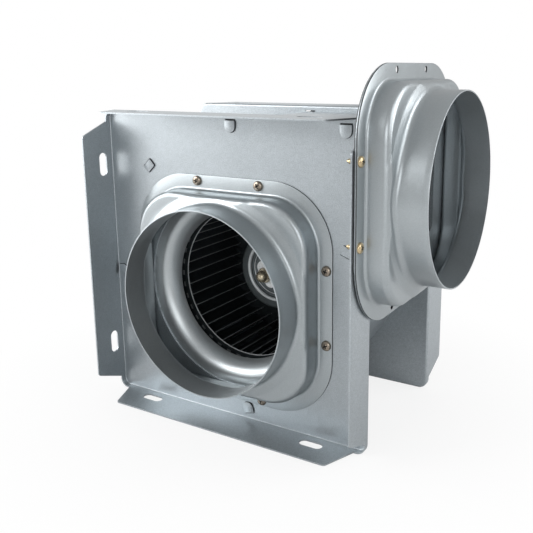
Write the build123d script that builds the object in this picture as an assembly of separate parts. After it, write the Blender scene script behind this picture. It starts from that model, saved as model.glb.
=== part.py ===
from build123d import *
from math import atan, cos, degrees, exp, radians, sin, tan
import os

os.makedirs("parts", exist_ok=True)

# A centrifugal duct fan: two pressed mounting pans, a volute strip between
# them, a round collar on the intake and one on the outlet, and a forward-curved
# impeller on the shaft of a motor that hangs from a plate in the rear pan.
# Millimetres. The origin is the centre of the intake collar's open end,
# +X points out of the outlet, +Y into the fan and +Z up.

# Sheet and fits
pan_sheet = 1.2
collar_sheet = 1.0
volute_sheet = 1.0
plate_sheet = 0.8
gasket_sheet = 1.0
hole_clearance = 0.2
shaft_clearance = 0.05

# Mounting pans
pan_width = 250.6
pan_height = 256.0
pan_rise = 16.9
pan_corner = 8.0
pan_bend = 2.0
flange_reach = 32.5
corner_lip = 6.0
flange_base_inset = 10.0
flange_tip_inset = 21.0
flange_tip_round = 3.0
slot_length = 20.0
slot_width = 8.5
slot_pitch = 162.6
slot_reach = 11.0
casing_depth = 127.5

# Duct collars
duct_diameter = 150.0
collar_margin = 39.0
skirt_margin = 14.0
crown_margin = 10.0
crown_lip = 2.0
collar_hole_inset = 4.8
collar_height = 44.0
collar_width = duct_diameter + collar_margin
collar_corner = 52.0
skirt_width = duct_diameter + skirt_margin
skirt_corner = 39.5
skirt_height = 18.5
skirt_bend = 2.5
shoulder_round = 5.0
crown_base_radius = duct_diameter / 2 + crown_margin
crown_top_radius = duct_diameter / 2 + crown_lip
crown_rise = 1.6
collar_hole_reach = collar_width / 2 - collar_hole_inset
collar_hole_offset = 29.7

# Bell mouth, a drawn ring welded behind the front pan's opening
bell_throat_radius = 63.7
bell_round = 13.0
bell_lip = 1.1
bell_sheet = 1.0
bell_lap = 5.0

# Volute, a logarithmic spiral that starts at the tongue
tongue_radius = 89.9
tongue_nose = 3.2
tongue_drop = 10.2
volute_growth = 0.0834
duct_opening_height = 101.5
duct_floor_fall = 20.0
outlet_rise = 87.6
spiral_steps = 14
tab_width = 9.6
tab_length = 9.4
tab_slot_gap = 1.2
crest_tab_offset = 4.0
roof_tab_inset = 20.4
floor_tab_inset = 19.8

# Outlet plate
plate_margin = 3.0
plate_lip = 4.0
plate_corner = 8.0

# Impeller
blade_count = 40
blade_sheet = 0.8
wheel_radius = 77.0
blade_eye_radius = 64.0
blade_bow_radius = 13.5
wheel_front = 23.8
blade_length = 81.0
ring_sheet = 0.8
ring_rim = 5.0
ring_mark = (1.4, 0.7, 4.2)
disc_sheet = 1.0
hub_cup_radius = 36.0
hub_cup_base_radius = 51.0
hub_cup_height = 39.0
hub_eye_radius = 29.5
hub_dish_radius = 27.5
hub_dish_depth = 7.5
boss_radius = 8.0
boss_flange_radius = 15.0
boss_height = 18.0

# Shaft, nut and hub clamp
shaft_radius = 4.0
nut_across_flats = 12.0
nut_hex_height = 5.5
nut_dome_radius = 5.1
nut_height = 12.0
clamp_length = 26.0
clamp_width = 12.0
clamp_sheet = 2.4

# Motor
motor_radius = 43.0
motor_front_radius = 33.0
motor_front_length = 24.0
stator_length = 26.0
stator_bore_radius = 25.0
air_gap = 0.6
shield_wall = 2.5
rear_shield_length = 22.0
bearing_radius = 11.0
bearing_width = 7.0
vent_count = 12
vent_margin = 15.0
vent_width = 5.0
foot_count = 4
foot_reach = 56.0
foot_radius = 7.0
foot_sheet = 3.0
bush_height = 4.0
bush_radius = 6.5
plate_radius = 92.0
plate_opening_radius = 82.0
motor_plate_sheet = 1.5
motor_plate_bead = 3.0
plate_screw_count = 6

# Terminal box, cable gland and capacitor
box_length = 84.0
box_height = 38.0
box_depth = 27.0
box_wall = 2.0
box_corner = 4.0
box_offset = 55.5
box_top_gap = 0.8
lid_sheet = 2.5
lid_screw_length = 10.5
block_length = 36.0
block_height = 16.0
block_depth = 12.0
block_pocket = (6.0, 7.0, 4.0)
gland_flats = 15.0
gland_length = 16.0
gland_bore_radius = 3.25
gland_axis_rise = 11.0
capacitor_radius = 13.5
capacitor_length = 52.0
capacitor_offset = -50.0
capacitor_gap = 22.0
clip_sheet = 1.0
clip_width = 12.0
clip_foot = 12.0
box_screw_reach = 27.0
box_screw_grip = 4.0
box_screw_clearance = 5.0
clip_screw_grip = 5.0
earth_inset = 9.3
earth_height = 84.0

# Screws
screw_radius = 2.1
screw_head_radius = 4.7
screw_head_height = 2.6
screw_reach = 8.0
small_screw_radius = 1.5
small_head_radius = 2.9
small_head_height = 1.8

# Places that follow from the sizes above
front_y = collar_height
front_inner_y = front_y + pan_sheet
rear_y = front_y + casing_depth
rear_back_y = rear_y + pan_sheet
side_x = pan_width / 2
pan_top_z = pan_rise + pan_height / 2
pan_floor_z = pan_rise - pan_height / 2
gasket_x = side_x
plate_x = gasket_x + gasket_sheet
collar_x = plate_x + plate_sheet
outlet_y = front_y + (casing_depth + pan_sheet) / 2
crest_angle = 90 - degrees(atan(volute_growth))
bell_flange_radius = tongue_radius - volute_sheet - 1.0
bell_opening_radius = bell_flange_radius - bell_lap
box_rise = pan_top_z - pan_sheet - box_top_gap - box_height / 2
gland_z = box_rise + gland_axis_rise
capacitor_z = plate_radius + capacitor_gap
earth_x = side_x - earth_inset
wheel_front_y = front_y + wheel_front
blade_front_y = wheel_front_y + ring_sheet
blade_rear_y = blade_front_y + blade_length
cup_top_y = blade_rear_y - hub_cup_height
dish_y = cup_top_y + hub_dish_depth


def crest_height(start_angle):
    """Height of the spiral's crest, which is the duct's roof, when the spiral
    starts at an angle above the outlet's side."""
    turn = radians(start_angle + 360 - crest_angle)
    return tongue_radius * exp(volute_growth * turn) * sin(radians(crest_angle))


def find_tongue_angle():
    """The angle at which the tongue's tip lies tongue_drop under the duct's
    floor, found by halving."""
    low, high = 0.0, 70.0
    while high - low > 1e-9:
        angle = (low + high) / 2
        mouth_floor = crest_height(angle) - 2 * volute_sheet - duct_opening_height
        tip_x = tongue_radius * cos(radians(angle))
        tip_z = tongue_radius * sin(radians(angle))
        floor_z = mouth_floor + (side_x - tip_x) * tan(radians(duct_floor_fall))
        if floor_z - tip_z > tongue_drop:
            low = angle
        else:
            high = angle
    return low


tongue_angle = find_tongue_angle()


def volute_radius(angle, inset=0.0):
    """Radius of the volute's outer face at an angle seen from the intake,
    counted on from the tongue for one turn."""
    turn = radians(tongue_angle + 360 - angle)
    return tongue_radius * exp(volute_growth * turn) - inset


def volute_point(angle, inset=0.0):
    reach = volute_radius(angle, inset)
    return (reach * cos(radians(angle)), reach * sin(radians(angle)))


roof_z = volute_radius(crest_angle) * sin(radians(crest_angle))
duct_floor_z = roof_z - 2 * volute_sheet - duct_opening_height
box_screw_z = min(box_rise, roof_z - box_screw_clearance)
duct_mouth_z = roof_z - volute_sheet - duct_opening_height / 2
outlet_z = outlet_rise

front_plane = Plane(origin=(0, front_y, 0), x_dir=(1, 0, 0), z_dir=(0, -1, 0))
outlet_plane = Plane(
    origin=(collar_x, outlet_y, outlet_z), x_dir=(0, 1, 0), z_dir=(1, 0, 0)
)


def facing_front(y):
    """A plane across the fan's axis, drawn as seen from the intake."""
    return Plane(origin=(0, y, 0), x_dir=(1, 0, 0), z_dir=(0, -1, 0))


def facing_rear(y, x=0.0, z=0.0):
    """A plane across the axis whose normal points out of the back."""
    return Plane(origin=(x, y, z), x_dir=(-1, 0, 0), z_dir=(0, 1, 0))


def facing_outlet(x):
    """A plane across the outlet's axis, with Y to its right and Z up."""
    return Plane(origin=(x, outlet_y, outlet_z), x_dir=(0, 1, 0), z_dir=(1, 0, 0))


def turned(points):
    """A solid of revolution about the fan's axis from (radius, y) points."""
    return revolve(make_face(Polyline(*points, close=True)), Axis.Y)


def ring(outer, inner, y, length):
    """A plain ring about the fan's axis from y to y + length."""
    return extrude(facing_front(y) * (Circle(outer) - Circle(inner)), -length)


def disc(radius, y, length):
    """A plain disc about the fan's axis from y to y + length."""
    return extrude(facing_front(y) * Circle(radius), -length)


def save(name, *solids):
    """Writes one node's solids to parts/name.step."""
    shape = solids[0] if len(solids) == 1 else Compound(children=list(solids))
    export_step(shape, f"parts/{name}.step")


# Mounting pan


def flange_silhouette(half_width):
    """Half the side view of two facing flanges, with chamfered ends."""
    base = half_width - flange_base_inset
    tip = half_width - flange_tip_inset
    depth = pan_sheet + flange_reach
    outline = Polygon(
        (-base, 0), (base, 0), (base, corner_lip), (tip, depth), (-tip, depth), (-base, corner_lip),
        align=None,
    )
    return fillet(outline.vertices().group_by(Axis.Y)[-1], flange_tip_round)


def mounting_pan():
    """One pressed pan lying on its back, its flanges up along +Z, as wide as
    the fan in X and as high in Y. The flange at +X has no slots."""
    depth = pan_sheet + flange_reach
    outer = extrude(RectangleRounded(pan_width, pan_height, pan_corner), depth)
    outer = fillet(outer.edges().group_by(Axis.Z)[0], pan_bend)
    inner = extrude(
        RectangleRounded(
            pan_width - 2 * pan_sheet, pan_height - 2 * pan_sheet, pan_corner - pan_sheet
        ),
        depth,
    )
    inner = fillet(inner.edges().group_by(Axis.Z)[0], pan_bend - pan_sheet)
    shell = outer - Pos(0, 0, pan_sheet) * inner
    end_walls = extrude(Plane.XZ * flange_silhouette(pan_width / 2), pan_height, both=True)
    side_walls = extrude(Plane.YZ * flange_silhouette(pan_height / 2), pan_width, both=True)
    lip = extrude(Rectangle(pan_width + 1, pan_height + 1), corner_lip)
    pan = (shell & lip) + (shell & end_walls) + (shell & side_walls)
    slot_z = pan_sheet + slot_reach
    slot = SlotOverall(slot_length, slot_width)
    for shift in (-slot_pitch / 2, slot_pitch / 2):
        pan -= extrude(Plane.XZ * Pos(shift, slot_z) * slot, pan_height, both=True)
        left_slot = extrude(Plane.YZ * Pos(shift, slot_z) * slot, -pan_width)
        pan -= left_slot
    return pan


# Volute wall and its tabs


def floor_height(x, inset=0.0):
    """Height of the duct floor's lower face, or of a face an inset above it."""
    fall = radians(duct_floor_fall)
    return duct_floor_z + inset / cos(fall) + (side_x - x) * tan(fall)


def casing_outline(inset, end_x):
    """The volute and its duct in section: roof, spiral, rounded tongue and
    floor, all moved into the air way by the inset."""
    sweep = 360 - crest_angle + tongue_angle
    angles = [crest_angle + sweep * k / spiral_steps for k in range(spiral_steps + 1)]
    points = [volute_point(angle, inset) for angle in angles]
    roof = points[0][1]
    tip_x, tip_z = points[-1]
    rise = radians(tongue_angle + 90) + atan(volute_growth)
    fall = radians(duct_floor_fall)
    drop = floor_height(tip_x, inset) - tip_z
    reach = drop / (sin(rise) + cos(rise) * tan(fall))
    trim = (tongue_nose + inset) * tan((rise + fall) / 2)
    nose_start = (tip_x + (reach - trim) * cos(rise), tip_z + (reach - trim) * sin(rise))
    nose_end_x = tip_x + reach * cos(rise) + trim * cos(fall)
    nose_end = (nose_end_x, floor_height(nose_end_x, inset))
    mouth = (end_x, floor_height(end_x, inset))
    edges = [
        Line((end_x, roof), points[0]),
        Spline(*points, tangents=[(-1, 0), (cos(rise), sin(rise))]),
        Line(points[-1], nose_start),
        TangentArc(nose_start, nose_end, tangent=(cos(rise), sin(rise))),
        Line(nose_end, mouth),
        Line(mouth, (end_x, roof)),
    ]
    return make_face(edges)


def tab_places():
    """Where the wall's tabs pass a pan: a point on the wall's face and the
    direction, in degrees, in which the tab is folded."""
    lean = degrees(atan(volute_growth))
    places = []
    for angle in (129.5, 179.0, 278.9):
        places.append((*volute_point(angle), angle + 180 + lean))
    for x in (crest_tab_offset, side_x - roof_tab_inset):
        places.append((x, roof_z, 270.0))
    floor_x = side_x - floor_tab_inset
    places.append((floor_x, floor_height(floor_x), 90.0 - duct_floor_fall))
    return places


def tab_leaf(x, z, fold, face_y, way):
    """One folded tab with the tongue that carries it through a pan."""
    place = facing_front(face_y) * Pos(x, z) * Rot(0, 0, fold)
    nose = tab_width / 2
    start = (Align.MIN, Align.CENTER)
    leaf = Rectangle(tab_length - nose, tab_width, align=start) + Pos(tab_length - nose, 0) * Circle(nose)
    neck = Rectangle(volute_sheet, tab_width, align=start)
    return extrude(place * leaf, way * volute_sheet) + extrude(place * neck, -way * pan_sheet)


def tab_slot(x, z, fold, face_y):
    """The slot in a pan that a tab comes through."""
    place = facing_front(face_y) * Pos(x, z) * Rot(0, 0, fold) * Pos(-tab_slot_gap, 0)
    length = tab_slot_gap + volute_sheet + hole_clearance
    gap = Rectangle(length, tab_width + 2 * hole_clearance, align=(Align.MIN, Align.CENTER))
    return extrude(place * gap, 2 * pan_sheet, both=True)


def volute_wall():
    """The strip between the pans, with its tabs folded over on both of them."""
    strip = casing_outline(0, side_x) - casing_outline(volute_sheet, side_x + 1)
    wall = extrude(facing_front(front_inner_y) * strip, front_inner_y - rear_y)
    for place in tab_places():
        wall += tab_leaf(*place, front_y, 1)
        wall += tab_leaf(*place, rear_back_y, -1)
    for spot in collar_hole_places():
        wall -= extrude(front_plane * spot * screw_hole(), -2 * screw_reach)
    return wall


# Front pan and bell mouth


def bell_mouth():
    """The inlet ring behind the front pan: a flange, a quarter round and a lip."""
    centre_r = bell_throat_radius + bell_round
    centre_y = front_inner_y + bell_round
    throat = bell_throat_radius
    back = front_inner_y + bell_sheet
    end_y = centre_y + bell_lip
    outline = Wire(
        [
            CenterArc((centre_r, centre_y), bell_round, 180, 90),
            Line((centre_r, front_inner_y), (bell_flange_radius, front_inner_y)),
            Line((bell_flange_radius, front_inner_y), (bell_flange_radius, back)),
            Line((bell_flange_radius, back), (centre_r, back)),
            CenterArc((centre_r, centre_y), bell_round - bell_sheet, 180, 90),
            Line((throat + bell_sheet, centre_y), (throat + bell_sheet, end_y)),
            Line((throat + bell_sheet, end_y), (throat, end_y)),
            Line((throat, end_y), (throat, centre_y)),
        ]
    )
    bell = revolve(make_face(outline), Axis.Y)
    for spot in collar_hole_places():
        bell -= extrude(front_plane * spot * screw_hole(), -2 * screw_reach)
    return bell


def collar_hole_places():
    """The eight screw places of a collar flange, in pairs on its four sides."""
    pairs = []
    for quarter in range(4):
        for offset in (-collar_hole_offset, collar_hole_offset):
            pairs.append(Rot(0, 0, 90 * quarter) * Pos(collar_hole_reach, offset))
    return pairs


def front_pan():
    place = Plane(origin=(0, front_inner_y, pan_rise), x_dir=(1, 0, 0), z_dir=(0, -1, 0))
    pan = place * mounting_pan()
    pan -= disc(bell_opening_radius, front_y - 1, pan_sheet + 2)
    for spot in collar_hole_places():
        pan -= extrude(front_plane * spot * screw_hole(), pan_sheet * 2, both=True)
    for place in tab_places():
        pan -= tab_slot(*place, front_y)
    for height in (-collar_hole_offset, collar_hole_offset):
        pan -= side_screw_hole(height, -collar_hole_reach)
    return pan


def side_screw_hole(height, reach):
    """A hole through a pan's right flange for one of the outlet collar's screws."""
    return extrude(facing_outlet(side_x) * Pos(reach, height) * screw_hole(), 2 * pan_sheet, both=True)


def rear_pan():
    place = Plane(origin=(0, rear_y, pan_rise), x_dir=(1, 0, 0), z_dir=(0, 1, 0))
    pan = place * mounting_pan()
    pan -= disc(plate_opening_radius, rear_y - 1, pan_sheet + 2)
    for spot in plate_screw_places():
        pan -= extrude(facing_rear(rear_y) * spot * screw_hole(), pan_sheet * 2, both=True)
    for place in tab_places():
        pan -= tab_slot(*place, rear_back_y)
    for seat in rear_pan_screw_seats():
        pan -= extrude(seat * Circle(small_screw_radius + hole_clearance), 3 * pan_sheet, both=True)
    for height in (-collar_hole_offset, collar_hole_offset):
        pan -= side_screw_hole(height, collar_hole_reach)
    return pan


def plate_screw_places():
    """The motor plate's screws, in a circle between its rim and the opening."""
    reach = (plate_radius + plate_opening_radius) / 2
    return [Rot(0, 0, 360 / plate_screw_count * k) * Pos(reach, 0) for k in range(plate_screw_count)]


def rear_pan_screw_seats():
    """The small screws' places on the rear pan: clip, earth stud and box."""
    clip_z = capacitor_z - capacitor_radius - clip_foot * 0.6
    return [
        facing_rear(rear_back_y, capacitor_offset, clip_z),
        facing_rear(rear_back_y, earth_x, earth_height),
        *[facing_rear(rear_back_y, box_offset + side * box_screw_reach, box_screw_z) for side in (-1, 1)],
    ]


# Collars


def collar_form(inset):
    """The collar's outer form, or with an inset the space inside it: a
    rounded-square skirt, a low crown and the round spigot on a wide slab."""
    side = skirt_width - 2 * inset
    top = skirt_height - inset
    skirt = extrude(RectangleRounded(side, side, skirt_corner - inset), top)
    skirt = fillet(skirt.edges().group_by(Axis.Z)[-1], shoulder_round - inset)
    slab_top = collar_sheet - inset
    slab = Pos(0, 0, slab_top - collar_height / 2) * Box(2 * collar_width, 2 * collar_width, collar_height)
    form = skirt + slab
    foot = form.edges().filter_by_position(Axis.Z, slab_top - 0.01, slab_top + 0.01)
    foot = [edge for edge in foot if edge.center().X ** 2 + edge.center().Y ** 2 < skirt_width**2 / 2]
    form = fillet(foot, skirt_bend + inset)
    swell = extrude(RectangleRounded(side, side, skirt_corner - inset), top + crown_rise)
    swell = fillet(swell.edges().group_by(Axis.Z)[-1], shoulder_round + crown_rise - inset)
    bottom = (Align.CENTER, Align.CENTER, Align.MIN)
    crown = Cone(crown_base_radius - inset, crown_top_radius - inset, crown_rise, align=bottom)
    form += (Pos(0, 0, top) * crown) & swell
    return form + extrude(Circle(duct_diameter / 2 - inset), collar_height + inset)


def collar_outline(shrink=0.0):
    width = collar_width - 2 * shrink
    return RectangleRounded(width, width, collar_corner - shrink)


def screw_hole():
    return Circle(screw_radius + hole_clearance)


def duct_collar():
    """A pressed collar, flange down on Z = 0, spigot up."""
    collar = collar_form(0) - collar_form(collar_sheet)
    collar &= extrude(collar_outline(), collar_height)
    for spot in collar_hole_places():
        collar -= extrude(spot * screw_hole(), 3 * collar_sheet, both=True)
    return collar


# Outlet plate and gasket


def duct_mouth(inset):
    """The duct's rectangular mouth, smaller all round by the inset."""
    width = casing_depth - pan_sheet - 2 * inset
    height = duct_opening_height - 2 * inset
    return Pos(0, duct_mouth_z - outlet_z) * RectangleRounded(width, height, plate_corner)


def outlet_holes():
    return [
        extrude(facing_outlet(gasket_x) * spot * screw_hole(), gasket_sheet + plate_sheet)
        for spot in collar_hole_places()
    ]


def outlet_gasket():
    gasket = extrude(facing_outlet(gasket_x) * collar_outline(1.0), gasket_sheet)
    gasket -= extrude(facing_outlet(gasket_x) * duct_mouth(0), gasket_sheet)
    for hole in outlet_holes():
        gasket -= hole
    return gasket


def outlet_plate():
    """The plate between the casing and the outlet collar, with a lip that
    locates in the duct's rectangular mouth."""
    plate = extrude(facing_outlet(plate_x) * collar_outline(), plate_sheet)
    plate -= extrude(facing_outlet(plate_x) * duct_mouth(plate_margin + plate_sheet), plate_sheet)
    lip = duct_mouth(plate_margin) - duct_mouth(plate_margin + plate_sheet)
    plate += extrude(facing_outlet(plate_x) * lip, -plate_lip)
    for hole in outlet_holes():
        plate -= hole
    return plate


# Screws


def pan_head_screw(radius, head_radius, head_height, reach):
    """A domed screw with its seat on Z = 0, shank down."""
    dome = Cylinder(head_radius, head_height, align=(Align.CENTER, Align.CENTER, Align.MIN))
    dome = fillet(dome.edges().group_by(Axis.Z)[-1], head_height * 0.8)
    shank = Cylinder(radius, reach, align=(Align.CENTER, Align.CENTER, Align.MAX))
    hung = (Align.CENTER, Align.CENTER, Align.MAX)
    tip = Pos(0, 0, -reach) * Cone(radius * 0.4, radius, radius, align=hung)
    return dome + shank + tip


def collar_screw():
    return pan_head_screw(screw_radius, screw_head_radius, screw_head_height, screw_reach)


def small_screw(reach):
    return pan_head_screw(small_screw_radius, small_head_radius, small_head_height, reach)


# Impeller


def blade_outline():
    """One forward-curved blade in section, its eye edge on the X axis. The
    wheel turns clockwise as seen from the intake, and the tip leans that way."""
    tip_lead = 11.0
    eye = (blade_eye_radius, 0)
    tip_reach = wheel_radius - blade_sheet - hole_clearance
    tip = (tip_reach * cos(radians(tip_lead)), -tip_reach * sin(radians(tip_lead)))
    hollow = RadiusArc(eye, tip, blade_bow_radius)
    return make_face(Wire([hollow]).offset_2d(blade_sheet, side=Side.LEFT, closed=True))


def impeller_blades():
    """The blades, each reaching from the front ring to the back disc."""
    blade = extrude(facing_front(blade_front_y) * blade_outline(), -blade_length)
    return [Rot(0, 360 / blade_count * k, 0) * blade for k in range(blade_count)]


def impeller_back_disc():
    """The back disc, drawn forward into a hub cup, turned from one profile."""
    rear = blade_rear_y
    top = cup_top_y
    t = disc_sheet
    outline = [
        (wheel_radius, rear),
        (hub_cup_base_radius, rear),
        (hub_cup_radius, top + 3),
        (hub_cup_radius - 1.5, top),
        (hub_eye_radius + 3.5, top),
        (hub_eye_radius, top + 3.5),
        (hub_eye_radius, dish_y - 1.5),
        (hub_dish_radius, dish_y),
        (shaft_radius + hole_clearance, dish_y),
        (shaft_radius + hole_clearance, dish_y + t),
        (hub_dish_radius + 0.5, dish_y + t),
        (hub_eye_radius + t, dish_y - 1.0),
        (hub_eye_radius + t, top + 3.9),
        (hub_eye_radius + 3.9, top + t),
        (hub_cup_radius - 2.1, top + t),
        (hub_cup_radius - t, top + 3.3),
        (hub_cup_base_radius - 0.6, rear + t),
        (wheel_radius, rear + t),
    ]
    return turned(outline)


def impeller_front_ring():
    """The ring on the blades' front ends, with the blades' folded tabs on it."""
    wheel = ring(wheel_radius, blade_eye_radius - 0.3, wheel_front_y, ring_sheet)
    rim = ring(wheel_radius + ring_sheet, wheel_radius, wheel_front_y, ring_rim)
    reach = blade_eye_radius + ring_mark[2]
    mark = Pos(reach, wheel_front_y - ring_mark[1] / 2, 0) * Box(*ring_mark)
    marks = [Rot(0, 360 / blade_count * k, 0) * mark for k in range(blade_count)]
    return (wheel + rim).fuse(*marks)


# Hub, nut and clamp


def impeller_boss():
    """The flanged boss that carries the disc on the shaft."""
    bore = shaft_radius
    flange_y = dish_y - disc_sheet
    front = dish_y - boss_height
    return turned(
        [
            (bore, front),
            (boss_radius, front),
            (boss_radius, flange_y - 1),
            (boss_radius + 1, flange_y - 1),
            (boss_flange_radius, flange_y - 1),
            (boss_flange_radius, dish_y),
            (bore, dish_y),
        ]
    )


def hub_clamp():
    """The pale two-eared washer under the nut."""
    y = dish_y - boss_height
    ears = SlotOverall(clamp_length, clamp_width) + Circle(clamp_width / 2 + 1)
    plate = ears - Circle(shaft_radius + hole_clearance)
    return extrude(facing_front(y) * Rot(0, 0, 123) * plate, clamp_sheet)


def acorn_nut():
    y = dish_y - boss_height - clamp_sheet
    hexagon = RegularPolygon(nut_across_flats / 2, 6, major_radius=False)
    nut = extrude(facing_front(y) * hexagon, nut_hex_height)
    stem = nut_height - nut_hex_height - nut_dome_radius
    barrel = extrude(facing_front(y) * Circle(nut_dome_radius), nut_hex_height + stem)
    dome = Pos(0, y - nut_hex_height - stem, 0) * Sphere(nut_dome_radius)
    nut += barrel + dome
    return nut - disc(shaft_radius, y - nut_hex_height - 1, nut_hex_height + 1)


# Motor

motor_front_y = dish_y + disc_sheet + 5.0
stator_y = motor_front_y + motor_front_length
rear_shield_y = stator_y + stator_length
rear_shield_end = rear_shield_y + rear_shield_length
motor_plate_y = rear_back_y
shaft_front_y = dish_y - boss_height - clamp_sheet - nut_hex_height - 0.5


def motor_shaft():
    length = rear_shield_end - shield_wall - 1 - shaft_front_y
    return disc(shaft_radius, shaft_front_y, length)


def motor_rotor():
    return ring(stator_bore_radius - air_gap, shaft_radius, stator_y + 1, stator_length - 2)


def motor_stator():
    """Laminations with the windings' heads at each end."""
    pack = ring(motor_radius, stator_bore_radius, stator_y, stator_length)
    head = 5.0
    front_head = ring(stator_bore_radius + 6, stator_bore_radius + 1, stator_y - head, head)
    rear_head = ring(stator_bore_radius + 12, stator_bore_radius + 1, stator_y + stator_length, head)
    return pack + front_head + rear_head


def bearing(y):
    return ring(bearing_radius, shaft_radius + shaft_clearance, y, bearing_width)


front_bearing_y = motor_front_y + shield_wall
rear_bearing_y = rear_shield_end - shield_wall - bearing_width


def motor_front_shield():
    """The cup that faces the impeller, with the front bearing's seat."""
    w = shield_wall
    return turned(
        [
            (shaft_radius + 1, motor_front_y),
            (motor_front_radius - 4, motor_front_y),
            (motor_front_radius, motor_front_y + 4),
            (motor_front_radius + 3, stator_y - 5),
            (motor_radius, stator_y - 2.5),
            (motor_radius, stator_y),
            (motor_radius - 4, stator_y),
            (motor_front_radius + 3 - w, stator_y - 3),
            (motor_front_radius - w, motor_front_y + 5),
            (motor_front_radius - 5, motor_front_y + w),
            (bearing_radius + w, motor_front_y + w),
            (bearing_radius + w, front_bearing_y + bearing_width),
            (bearing_radius, front_bearing_y + bearing_width),
            (bearing_radius, front_bearing_y),
            (shaft_radius + 1, front_bearing_y),
        ]
    )


def foot_spots():
    return [Rot(0, 0, 360 / foot_count * (k + 0.5)) * Pos(foot_reach, 0) for k in range(foot_count)]


def motor_rear_shield():
    """The die-cast end shield outside the plate: a cup with feet, cooling
    vents and a bearing boss."""
    w = shield_wall
    end = rear_shield_end
    body = turned(
        [
            (motor_radius, rear_shield_y),
            (motor_radius, end - 5),
            (motor_radius - 5, end),
            (0, end),
            (0, end - w + 0.5),
            (shaft_radius + 1, end - w + 0.5),
            (shaft_radius + 1, end - w),
            (bearing_radius, end - w),
            (bearing_radius, rear_bearing_y),
            (bearing_radius + w, rear_bearing_y),
            (bearing_radius + w, end - w),
            (motor_radius - 6, end - w),
            (motor_radius - w, end - 6),
            (motor_radius - w, rear_shield_y),
        ]
    )
    foot_y = motor_plate_y + motor_plate_sheet + bush_height
    for spot in foot_spots():
        neck = Pos(-foot_radius, 0) * Rectangle(2 * foot_radius, 2 * foot_radius)
        foot = spot * (Circle(foot_radius) + neck - screw_hole())
        foot = extrude(facing_rear(foot_y) * foot, foot_sheet)
        body += foot - disc(motor_radius - 1, foot_y - 1, foot_sheet + 2)
    vent = SlotOverall(motor_radius - bearing_radius - vent_margin, vent_width)
    vent = Pos((bearing_radius + motor_radius) / 2 + 0.5, 0) * vent
    for k in range(vent_count):
        body -= extrude(facing_rear(end - 2 * w) * Rot(0, 0, 360 / vent_count * k) * vent, 3 * w)
    return body


def motor_plate():
    """The round plate that closes the rear pan and carries the motor."""
    y = motor_plate_y
    t = motor_plate_sheet
    inner = motor_radius + 2.0
    bead_out = plate_opening_radius - 8
    bead_in = foot_reach + foot_radius + 4
    plate = turned(
        [
            (inner, y),
            (bead_in, y),
            (bead_in + 2, y - motor_plate_bead),
            (bead_out - 2, y - motor_plate_bead),
            (bead_out, y),
            (plate_radius, y),
            (plate_radius, y + t),
            (bead_out - 0.6, y + t),
            (bead_out - 2.6, y + t - motor_plate_bead),
            (bead_in + 2.6, y + t - motor_plate_bead),
            (bead_in + 0.6, y + t),
            (inner, y + t),
        ]
    )
    for spot in plate_screw_places():
        plate -= extrude(facing_rear(y) * spot * screw_hole(), 3 * t, both=True)
    for spot in foot_spots():
        plate -= extrude(facing_rear(y) * spot * screw_hole(), 3 * t, both=True)
    return plate


def motor_bushes():
    """Rubber bushes between the motor's feet and the plate."""
    bushes = []
    for spot in foot_spots():
        outline = spot * (Circle(bush_radius) - Circle(screw_radius))
        bushes.append(extrude(facing_rear(motor_plate_y + motor_plate_sheet) * outline, bush_height))
    return bushes


# Terminal box, gland and capacitor

box_y = rear_back_y
gland_neck_radius = gland_flats / 2 - 2.2


def box_plane(depth):
    return facing_rear(box_y + depth, box_offset, box_rise)


def terminal_box():
    outside = RectangleRounded(box_length, box_height, box_corner)
    shell = extrude(box_plane(0) * outside, box_depth - lid_sheet)
    hollow = RectangleRounded(box_length - 2 * box_wall, box_height - 2 * box_wall, box_corner - box_wall)
    shell -= extrude(box_plane(box_wall) * hollow, box_depth)
    post = Circle(small_screw_radius + 2) - Circle(small_screw_radius)
    for x, z in lid_screw_places():
        shell += extrude(box_plane(box_wall) * Pos(x, z) * post, box_depth - lid_sheet - box_wall)
    shell -= extrude(gland_seat() * Circle(gland_neck_radius + hole_clearance), 2 * box_wall, both=True)
    for side in (-1, 1):
        hole = Pos(side * box_screw_reach, box_screw_z - box_rise) * Circle(small_screw_radius + hole_clearance)
        shell -= extrude(box_plane(0) * hole, box_wall)
    return shell


def lid_screw_places():
    reach = box_length / 2 - box_wall - small_screw_radius - 1.4
    height = box_height / 2 - box_wall - small_screw_radius - 1.4
    return [(reach, -height), (-reach, height)]


def terminal_lid():
    seat = box_plane(box_depth - lid_sheet)
    lid = extrude(seat * RectangleRounded(box_length, box_height, box_corner), lid_sheet)
    lid = chamfer(lid.edges().group_by(Axis.Y)[-1], 0.8)
    for x, z in lid_screw_places():
        lid -= extrude(seat * Pos(x, z) * Circle(small_screw_radius + hole_clearance), lid_sheet)
    return lid


def terminal_block():
    """A four-way block on the box's floor."""
    ways = 4
    width, height, depth = block_pocket
    block = extrude(box_plane(box_wall) * Rectangle(block_length, block_height), block_depth)
    for k in range(ways):
        x = (k - (ways - 1) / 2) * block_length / ways
        block -= extrude(box_plane(box_wall + block_depth) * Pos(x, 0) * Rectangle(width, height), -depth)
    return block


def gland_seat():
    """The gland's seat on the box's left end, its axis in line with the gap
    between the rear pan's left and top flanges."""
    left = box_offset - box_length / 2
    return Plane(origin=(left, box_y + box_depth / 2, gland_z), x_dir=(0, 1, 0), z_dir=(-1, 0, 0))


def cable_gland():
    """The cable gland: hexagon, domed cap and neck."""
    seat = gland_seat()
    body = extrude(seat * RegularPolygon(gland_flats / 2, 6, major_radius=False), 5)
    cap = extrude(seat * Circle(gland_flats / 2 - 0.6), gland_length)
    cap = fillet(cap.edges().group_by(Axis.X)[0], 3)
    neck = extrude(seat * Circle(gland_neck_radius), -(box_wall + 3))
    gland = body + cap + neck
    return gland - extrude(seat * Circle(gland_bore_radius), gland_length + 1, both=True)


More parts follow.
